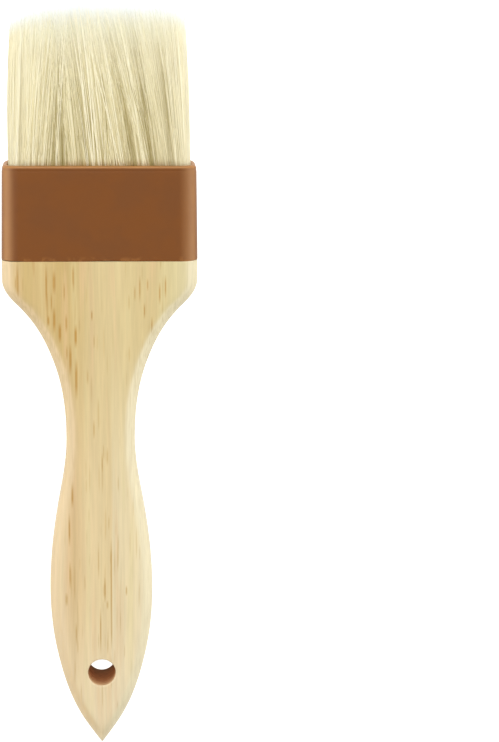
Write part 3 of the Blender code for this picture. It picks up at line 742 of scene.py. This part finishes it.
def planHairs(tree, given, d):
    # the values that each hair keeps, stored on its root
    roots, x, depth, halfWidth, halfThickness = scatterRoots(tree, given)
    fromMiddle = addNode(tree, "ShaderNodeMath", {0: x}, operation="ABSOLUTE")
    fromEdge = addNode(tree, "ShaderNodeMath", {0: halfWidth, 1: fromMiddle}, operation="SUBTRACT")
    leftEnd = addNode(tree, "ShaderNodeMath", {0: halfWidth, 1: -1.0}, operation="MULTIPLY")
    across = addNode(tree, "ShaderNodeMapRange", {0: x, 1: leftEnd, 2: halfWidth})
    z = addNode(tree, "ShaderNodeMath", {0: depth, 1: given["Side"]}, operation="MULTIPLY")
    rootPlace = addNode(tree, "ShaderNodeCombineXYZ", {0: x, 1: given["Root Y"], 2: z})
    index = addNode(tree, "GeometryNodeInputIndex")
    chance = []
    for i in range(7):
        seed = addNode(tree, "ShaderNodeMath", {0: given["Seed"], 1: 11.0 * (i + 1)}, operation="ADD")
        chance.append(addNode(tree, "FunctionNodeRandomValue", {
            2: -1.0, 3: 1.0, "ID": index, "Seed": seed}, data_type="FLOAT"))

    # curves across the brush; each is scaled to fit the node's 0 to 1 box and back again
    fields = {}
    for name, points in d["curves"].items():
        values = [value for _, value in points]
        low, high = min(values), max(values)
        curved = addNode(tree, "ShaderNodeFloatCurve", {"Value": across})
        curve = curved.mapping.curves[0]
        scaled = [(at, (value - low) / (high - low)) for at, value in points]
        curve.points[0].location = scaled[0]
        curve.points[1].location = scaled[-1]
        for at, value in scaled[1:-1]:
            curve.points.new(at, value)
        curved.mapping.update()
        unit = 1.0 if name == "bleach" else mm
        fields[name] = addNode(tree, "ShaderNodeMapRange", {0: curved, 3: low * unit, 4: high * unit})

    # the lean is full at the front face and turns round towards the back one, except at the two sides
    backFace = addNode(tree, "ShaderNodeMath", {0: halfThickness, 1: -1.0}, operation="MULTIPLY")
    leanShare = addNode(tree, "ShaderNodeMapRange", {
        0: z, 1: backFace, 2: halfThickness, 3: d["backLean"], 4: 1.0})
    atSide = addNode(tree, "ShaderNodeMapRange", {0: fromMiddle, 1: d["sideBand"][0], 2: d["sideBand"][1]})
    leanShare = addNode(tree, "ShaderNodeMix", {0: atSide, 2: leanShare, 3: 1.0}, data_type="FLOAT")
    lean = addNode(tree, "ShaderNodeMath", {0: fields["lean"], 1: leanShare}, operation="MULTIPLY")

    # clumps lean together; locks are the finest noise, and each noise is read at another place
    waves = []
    sizes = [size for size, _ in d["clumps"]] + [d["lock"]]
    for size, away in zip(sizes, (0.0, 4.0, 9.0)):
        spread = addNode(tree, "ShaderNodeVectorMath", {0: rootPlace, 1: (away, 0.0, away)}, operation="ADD")
        noise = addNode(tree, "ShaderNodeTexNoise", {"Vector": spread, "Scale": 1 / size, "Detail": 1.0})
        waves.append(addNode(tree, "ShaderNodeVectorMath", {0: noise.outputs["Color"], 1: (0.5, 0.5, 0.5)},
                             operation="SUBTRACT"))
    leans = []
    for wave, (_, share) in zip(waves, d["clumps"]):
        reach = addNode(tree, "ShaderNodeMath", {0: given["Clump"], 1: share}, operation="MULTIPLY")
        leans.append(addNode(tree, "ShaderNodeVectorMath", {0: wave, "Scale": reach}, operation="SCALE"))
    clump = addNode(tree, "ShaderNodeVectorMath", {0: leans[0], 1: leans[1]}, operation="ADD")
    clump = addNode(tree, "ShaderNodeSeparateXYZ", {0: clump})
    lock = addNode(tree, "ShaderNodeSeparateXYZ", {0: waves[2]})

    # a few thin locks and a few single hairs cross the others, which the odd powers pick out
    steep = addNode(tree, "ShaderNodeMath", {0: lock.outputs[0], 1: d["steep"]}, operation="MULTIPLY")
    steep = addNode(tree, "ShaderNodeMath", {0: steep, 1: 3.0}, operation="POWER")
    slight = addNode(tree, "ShaderNodeMath", {0: lock.outputs[0], 1: d["slight"]}, operation="MULTIPLY")
    single = addNode(tree, "ShaderNodeMath", {0: chance[0], 1: 9.0}, operation="POWER")
    single = addNode(tree, "ShaderNodeMath", {0: single, 1: d["single"]}, operation="MULTIPLY")
    cross = addNode(tree, "ShaderNodeMath", {0: steep, 1: slight}, operation="ADD")
    cross = addNode(tree, "ShaderNodeMath", {0: cross, 1: single}, operation="ADD")
    stray = addNode(tree, "ShaderNodeMath", {0: cross, 1: given["Stray"]}, operation="MULTIPLY")
    inward = addNode(tree, "ShaderNodeMapRange", {
        0: fromMiddle, 1: d["strayBand"][0], 2: d["strayBand"][1], 3: 0.1, 4: 1.0})
    stray = addNode(tree, "ShaderNodeMath", {0: stray, 1: inward}, operation="MULTIPLY")
    own = addNode(tree, "ShaderNodeMath", {0: chance[1], 1: d["ownLean"]}, operation="MULTIPLY")
    wander = addNode(tree, "ShaderNodeMath", {0: clump.outputs[0], 1: stray}, operation="ADD")
    wander = addNode(tree, "ShaderNodeMath", {0: wander, 1: own}, operation="ADD")
    freedom = addNode(tree, "ShaderNodeMapRange", {0: fromEdge, 1: 0.0, 2: d["edgeBand"], 3: 0.12, 4: 1.0})
    held = addNode(tree, "ShaderNodeMath", {0: wander, 1: freedom}, operation="MULTIPLY")
    tipX = addNode(tree, "ShaderNodeMath", {0: lean, 1: held}, operation="ADD")
    closing = addNode(tree, "ShaderNodeMath", {0: z, 1: d["closing"]}, operation="MULTIPLY")
    inOut = addNode(tree, "ShaderNodeMath", {0: clump.outputs[2], 1: d["clumpDepth"]}, operation="MULTIPLY")
    tipZ = addNode(tree, "ShaderNodeMath", {0: closing, 1: inOut}, operation="ADD")

    # most hairs reach the trim line and a few end well short of it
    short = addNode(tree, "ShaderNodeMath", {0: chance[2]}, operation="ABSOLUTE")
    short = addNode(tree, "ShaderNodeMath", {0: short, 1: 3.0}, operation="POWER")
    short = addNode(tree, "ShaderNodeMath", {0: short, 1: given["Ragged"]}, operation="MULTIPLY")
    trimY = addNode(tree, "ShaderNodeMath", {0: given["Tips Y"], 1: fields["trim"]}, operation="SUBTRACT")
    tipY = addNode(tree, "ShaderNodeMath", {0: trimY, 1: short}, operation="SUBTRACT")
    bowX = addNode(tree, "ShaderNodeMath", {0: chance[3], 1: d["bowX"]}, operation="MULTIPLY")
    bowZ = addNode(tree, "ShaderNodeMath", {0: chance[4], 1: d["bowZ"]}, operation="MULTIPLY")
    belly = addNode(tree, "ShaderNodeMath", {0: z, 1: d["belly"]}, operation="MULTIPLY")
    bowZ = addNode(tree, "ShaderNodeMath", {0: bowZ, 1: belly}, operation="ADD")

    # tone runs from 0, darkest, to 1: hairs of one lock are alike, and painted shade makes the partings and
    # the hairs deep in the tuft darker
    nearFace = addNode(tree, "ShaderNodeMath", {0: halfThickness, 1: d["faceFrom"]}, operation="MULTIPLY")
    tone = addNode(tree, "ShaderNodeMapRange", {
        0: chance[5], 1: -1.0, 2: 1.0, 3: d["tones"][0], 4: d["tones"][1]})
    shares = [
        (lock.outputs[1], *d["lockTone"]),
        (clump.outputs[1], *d["clumpTone"]),
        # painted shade: the hairs deep in the tuft are darker than those at its faces
        (depth, nearFace, halfThickness, 0.0, d["faceTone"]),
    ]
    for at in d["partings"]:
        off = addNode(tree, "ShaderNodeMath", {0: x, 1: at}, operation="SUBTRACT")
        off = addNode(tree, "ShaderNodeMath", {0: off}, operation="ABSOLUTE")
        shares.append((off, d["parting"][0], d["parting"][1], d["partingTone"], 0.0))
    for value, start, full, low, high in shares:
        part = addNode(tree, "ShaderNodeMapRange", {0: value, 1: start, 2: full, 3: low, 4: high})
        tone = addNode(tree, "ShaderNodeMath", {0: tone, 1: part}, operation="ADD")
    tone = addNode(tree, "ShaderNodeMath", {0: tone, 1: 0.0}, operation="ADD", use_clamp=True)
    thick = addNode(tree, "ShaderNodeMapRange", {0: chance[6], 1: 0.55, 2: 1.0})
    thick = addNode(tree, "ShaderNodeMath", {0: thick, 1: 2.0}, operation="POWER")
    girth = addNode(tree, "ShaderNodeMapRange", {0: thick, 3: d["girths"][0], 4: d["girths"][1]})
    paler = addNode(tree, "ShaderNodeMath", {0: thick, 1: d["thickTone"]}, operation="MULTIPLY")
    tone = addNode(tree, "ShaderNodeMath", {0: tone, 1: paler}, operation="ADD", use_clamp=True)

    values = {
        "rootPlace": ("FLOAT_VECTOR", rootPlace),
        "tipShift": ("FLOAT_VECTOR", addNode(tree, "ShaderNodeCombineXYZ", {0: tipX, 1: tipY, 2: tipZ})),
        "bow": ("FLOAT_VECTOR", addNode(tree, "ShaderNodeCombineXYZ", {0: bowX, 1: trimY, 2: bowZ})),
        "tone": ("FLOAT", tone),
        "girth": ("FLOAT", girth),
        "bleach": ("FLOAT", fields["bleach"]),
    }
    for name, (kind, value) in values.items():
        roots = addNode(tree, "GeometryNodeStoreNamedAttribute", {
            "Geometry": roots, "Name": name, "Value": value}, data_type=kind, domain="POINT")
    kept = {}
    for name, (kind, _) in values.items():
        kept[name] = addNode(tree, "GeometryNodeInputNamedAttribute", {"Name": name}, data_type=kind)
    return roots, kept


def growHairs(tree, given, d, roots, kept):
    # one straight strand on every root, then bent into shape and given its thickness
    line = addNode(tree, "GeometryNodeCurvePrimitiveLine", {
        "Start": (0.0, 0.0, 0.0), "End": (0.0, 10 * mm, 0.0)})
    strand = addNode(tree, "GeometryNodeResampleCurve", {"Curve": line, "Count": given["Points"]})
    planted = addNode(tree, "GeometryNodeInstanceOnPoints", {"Points": roots, "Instance": strand})
    strands = addNode(tree, "GeometryNodeRealizeInstances", {"Geometry": planted})
    root = addNode(tree, "ShaderNodeSeparateXYZ", {0: kept["rootPlace"]})
    tip = addNode(tree, "ShaderNodeSeparateXYZ", {0: kept["tipShift"]})
    bow = addNode(tree, "ShaderNodeSeparateXYZ", {0: kept["bow"]})

    # the first point is the root, the second is at the mouth, and the rest are spread up to the tip
    last = addNode(tree, "ShaderNodeMath", {0: given["Points"], 1: 1.0}, operation="SUBTRACT")
    share = addNode(tree, "GeometryNodeSplineParameter").outputs["Factor"]
    step = addNode(tree, "ShaderNodeMath", {0: share, 1: last}, operation="MULTIPLY")
    inside = addNode(tree, "ShaderNodeMapRange", {0: step, 1: 0.0, 2: 1.0})
    upward = addNode(tree, "ShaderNodeMapRange", {0: step, 1: 1.0, 2: last})
    upward = addNode(tree, "ShaderNodeMath", {0: upward, 1: d["crowding"]}, operation="POWER")
    rootY, mouth = given["Root Y"], given["Mouth Y"]
    rootLength = addNode(tree, "ShaderNodeMath", {0: mouth, 1: rootY}, operation="SUBTRACT")
    packed = addNode(tree, "ShaderNodeMath", {0: rootLength, 1: inside}, operation="MULTIPLY")
    freeLength = addNode(tree, "ShaderNodeMath", {0: tip.outputs[1], 1: mouth}, operation="SUBTRACT")
    free = addNode(tree, "ShaderNodeMath", {0: freeLength, 1: upward}, operation="MULTIPLY")
    fromRoot = addNode(tree, "ShaderNodeMath", {0: packed, 1: free}, operation="ADD")
    y = addNode(tree, "ShaderNodeMath", {0: rootY, 1: fromRoot}, operation="ADD")
    toTrim = addNode(tree, "ShaderNodeMath", {0: bow.outputs[1], 1: mouth}, operation="SUBTRACT")
    along = addNode(tree, "ShaderNodeMath", {0: free, 1: toTrim}, operation="DIVIDE")

    # a hair sways more the higher it is, and bows most half way up
    square = addNode(tree, "ShaderNodeMath", {0: upward, 1: upward}, operation="MULTIPLY")
    sway = addNode(tree, "ShaderNodeMix", {0: d["swayCurve"], 2: upward, 3: square}, data_type="FLOAT")
    arch = addNode(tree, "ShaderNodeMath", {0: upward, 1: square}, operation="SUBTRACT")
    arch = addNode(tree, "ShaderNodeMath", {0: arch, 1: 4.0}, operation="MULTIPLY")
    places = []
    for axis in (0, 2):
        leaned = addNode(tree, "ShaderNodeMath", {0: tip.outputs[axis], 1: sway}, operation="MULTIPLY")
        arched = addNode(tree, "ShaderNodeMath", {0: bow.outputs[axis], 1: arch}, operation="MULTIPLY")
        total = addNode(tree, "ShaderNodeMath", {0: leaned, 1: arched}, operation="ADD")
        places.append(addNode(tree, "ShaderNodeMath", {0: root.outputs[axis], 1: total}, operation="ADD"))
    height = addNode(tree, "ShaderNodeMath", {0: places[1], 1: given["Mid Z"]}, operation="ADD")
    place = addNode(tree, "ShaderNodeCombineXYZ", {0: places[0], 1: y, 2: height})
    shaped = addNode(tree, "GeometryNodeSetPosition", {"Geometry": strands, "Position": place})
    marked = addNode(tree, "GeometryNodeStoreNamedAttribute", {
        "Geometry": shaped, "Name": "along", "Value": along}, data_type="FLOAT", domain="POINT")
    taper = addNode(tree, "ShaderNodeMapRange", {0: upward, 1: 0.5, 2: 1.0, 3: 1.0, 4: d["tipGirth"]})
    girth = addNode(tree, "ShaderNodeMath", {0: taper, 1: kept["girth"]}, operation="MULTIPLY")
    ring = addNode(tree, "GeometryNodeCurvePrimitiveCircle", {
        "Resolution": d["sides"], "Radius": given["Radius"]})
    return addNode(tree, "GeometryNodeCurveToMesh", {
        "Curve": marked, "Profile Curve": ring, "Scale": girth, "Fill Caps": True})


def makeBristleTree(d):
    tree = bpy.data.node_groups.new("bristles", "GeometryNodeTree")
    sockets = {}
    lengths = ("Side", "Width", "Thickness", "Corner", "Spacing", "Density", "Radius", "Root Y", "Mouth Y",
               "Tips Y", "Mid Z", "Ragged", "Clump", "Stray")
    for names, kind in ((lengths, "Float"), (("Points", "Seed"), "Int"), (("Material",), "Material")):
        for name in names:
            socket = tree.interface.new_socket(name, in_out="INPUT", socket_type=f"NodeSocket{kind}")
            sockets[name] = socket.identifier
    tree.interface.new_socket("Geometry", in_out="OUTPUT", socket_type="NodeSocketGeometry")
    given = tree.nodes.new("NodeGroupInput").outputs
    roots, kept = planHairs(tree, given, d)
    hairs = growHairs(tree, given, d, roots, kept)
    smooth = addNode(tree, "GeometryNodeSetShadeSmooth", {"Geometry": hairs})
    whole = addNode(tree, "GeometryNodeRealizeInstances", {"Geometry": smooth})
    coated = addNode(tree, "GeometryNodeSetMaterial", {"Geometry": whole, "Material": given["Material"]})
    addNode(tree, "NodeGroupOutput", {"Geometry": coated})
    return tree, sockets


def makeBristles(d):
    tree, sockets = makeBristleTree(d)
    coat = makeHair(hair)
    for name, side, seed in (("front", 1.0, 3), ("back", -1.0, 8)):
        piece = addPiece(f"boar_bristles_{name}", bpy.data.meshes.new(f"boar_bristles_{name}"))
        grow = piece.modifiers.new("bristles", "NODES")
        grow.node_group = tree
        values = {
            "Side": side, "Width": d["width"], "Thickness": d["thickness"], "Corner": d["corner"],
            "Spacing": d["spacing"], "Density": d["density"] / mm**2, "Radius": d["radius"],
            "Root Y": rootsLow.y, "Mouth Y": mouthY, "Tips Y": tipsY, "Mid Z": midZ,
            "Ragged": d["ragged"], "Clump": d["clump"], "Stray": d["stray"], "Points": d["points"],
            "Seed": seed, "Material": coat,
        }
        for label, value in values.items():
            grow[sockets[label]] = value
        toPlainMesh(piece)
        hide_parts(f"bristle_roots_{name}", f"bristle_tuft_{name}")
        piece.visible_shadow = False  # real hair lets the light through, so the tuft has no dark gaps
        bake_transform(piece)


makeBristles(bristles)
print("bristles made")

# what the ferrule hides: material, colour, roughness and the size of its cloudy patches
hidden = {
    "epoxy_set": ("cast epoxy resin", "#b08c4c", 0.18, 4.0 * mm),  # amber and glossy
    "tenon_glue": ("dried wood glue", "#d9c48a", 0.45, 1.5 * mm),  # yellowish, with a dull skin
    "filler_strip": ("raw poplar strip", "#d8bd8c", 0.7, 2.0 * mm),  # pale and unfinished
}


def makeHidden(d):
    for node, (name, colour, roughness, patch) in d.items():
        material, tree, shader = newMaterial(name)
        place = addNode(tree, "ShaderNodeTexCoord").outputs["Object"]
        cloud = addNode(tree, "ShaderNodeTexNoise", {"Vector": place, "Scale": 1 / patch, "Detail": 4.0})
        shade = addNode(tree, "ShaderNodeMapRange", {0: cloud, 1: 0.3, 2: 0.7, 3: 0.75, 4: 1.05})
        base = addNode(tree, "ShaderNodeMix", {0: 1.0, 6: fromHex(colour), 7: shade},
                       data_type="RGBA", blend_type="MULTIPLY")
        bump = addNode(tree, "ShaderNodeBump", {"Strength": 0.4, "Distance": 0.1 * mm, "Height": cloud})
        finish(tree, shader, base, bump, {"Roughness": roughness})
        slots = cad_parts[node].data.materials
        slots.clear()
        slots.append(material)


makeHidden(hidden)
print("hidden pieces coated")

# studio: a white table under two softboxes, with a dim room around them
studio = {
    "table": "#f4f4f2",  # the light that the table and the room give
    "tableTop": "#a8a8a6",  # and the table's own surface
    "tableSize": 4.0,  # half its width
    "below": 0.2 * mm,  # the gap under the brush
    "seen": 1.2,  # brightness of the table and the room as the camera sees them, which is past white
    "room": 0.25,  # and as the brush does
    "glow": 0.6,  # what the table gives back from below
    # each softbox: degrees from straight up, compass direction in degrees from +X, size, and brightness
    "softboxes": {
        "left_high": (32, 180, (1.2, 0.62), 0.9),
        "right_high": (32, 0, (1.2, 0.62), 0.8),
        "left_low": (68, 180, (1.2, 0.55), 2.2),
        "right_low": (68, 0, (1.2, 0.55), 2.0),
        "end_high": (38, 90, (0.5, 0.4), 2.2),
        "end_low": (64, 90, (0.9, 0.35), 3.0),
    },
    "reach": 0.8,  # distance of every softbox
}


def makeStudio(d):
    table = addPiece("table", bpy.data.meshes.new("table"))
    work = bmesh.new()
    bmesh.ops.create_grid(work, x_segments=1, y_segments=1, size=d["tableSize"])
    bmesh.ops.translate(work, verts=work.verts, vec=(0.0, 0.0, -d["below"]))
    work.to_mesh(table.data)
    work.free()
    material, tree, shader = newMaterial("white table")
    # a light table: white to the eye, and a softer light on the underside of the brush
    seen = addNode(tree, "ShaderNodeLightPath").outputs["Is Camera Ray"]
    strength = addNode(tree, "ShaderNodeMapRange", {0: seen, 3: d["glow"], 4: d["seen"]})
    glow = addNode(tree, "ShaderNodeEmission", {"Color": fromHex(d["table"]), "Strength": strength})
    both = addNode(tree, "ShaderNodeAddShader", {0: shader, 1: glow})
    tree.links.new(both.outputs[0], tree.nodes["Material Output"].inputs["Surface"])
    shader.inputs["Base Color"].default_value = fromHex(d["tableTop"])
    shader.inputs["Roughness"].default_value = 0.7
    table.data.materials.append(material)

    world = bpy.data.worlds.new("room")
    world.use_nodes = True
    tree = world.node_tree
    tree.nodes.clear()
    seen = addNode(tree, "ShaderNodeLightPath").outputs["Is Camera Ray"]
    strength = addNode(tree, "ShaderNodeMapRange", {0: seen, 3: d["room"], 4: d["seen"]})
    light = addNode(tree, "ShaderNodeBackground", {"Color": fromHex(d["table"]), "Strength": strength})
    addNode(tree, "ShaderNodeOutputWorld", {"Surface": light})
    bpy.context.scene.world = world

    for name, (fromUp, compass, size, brightness) in d["softboxes"].items():
        tilt, turn = math.radians(fromUp), math.radians(compass)
        towards = Vector((math.sin(tilt) * math.cos(turn), math.sin(tilt) * math.sin(turn), math.cos(tilt)))
        data = bpy.data.lights.new(f"softbox_{name}", "AREA")
        data.shape = "RECTANGLE"
        data.size, data.size_y = size
        data.energy = brightness * math.pi * size[0] * size[1]
        lamp = bpy.data.objects.new(f"softbox_{name}", data)
        lamp.location = towards * d["reach"]
        lamp.rotation_euler = (-towards).to_track_quat("-Z", "Y").to_euler()
        bpy.context.scene.collection.objects.link(lamp)
    bpy.context.scene.view_settings.view_transform = "Standard"


makeStudio(studio)
print("studio lit")

bpy.context.view_layer.update()
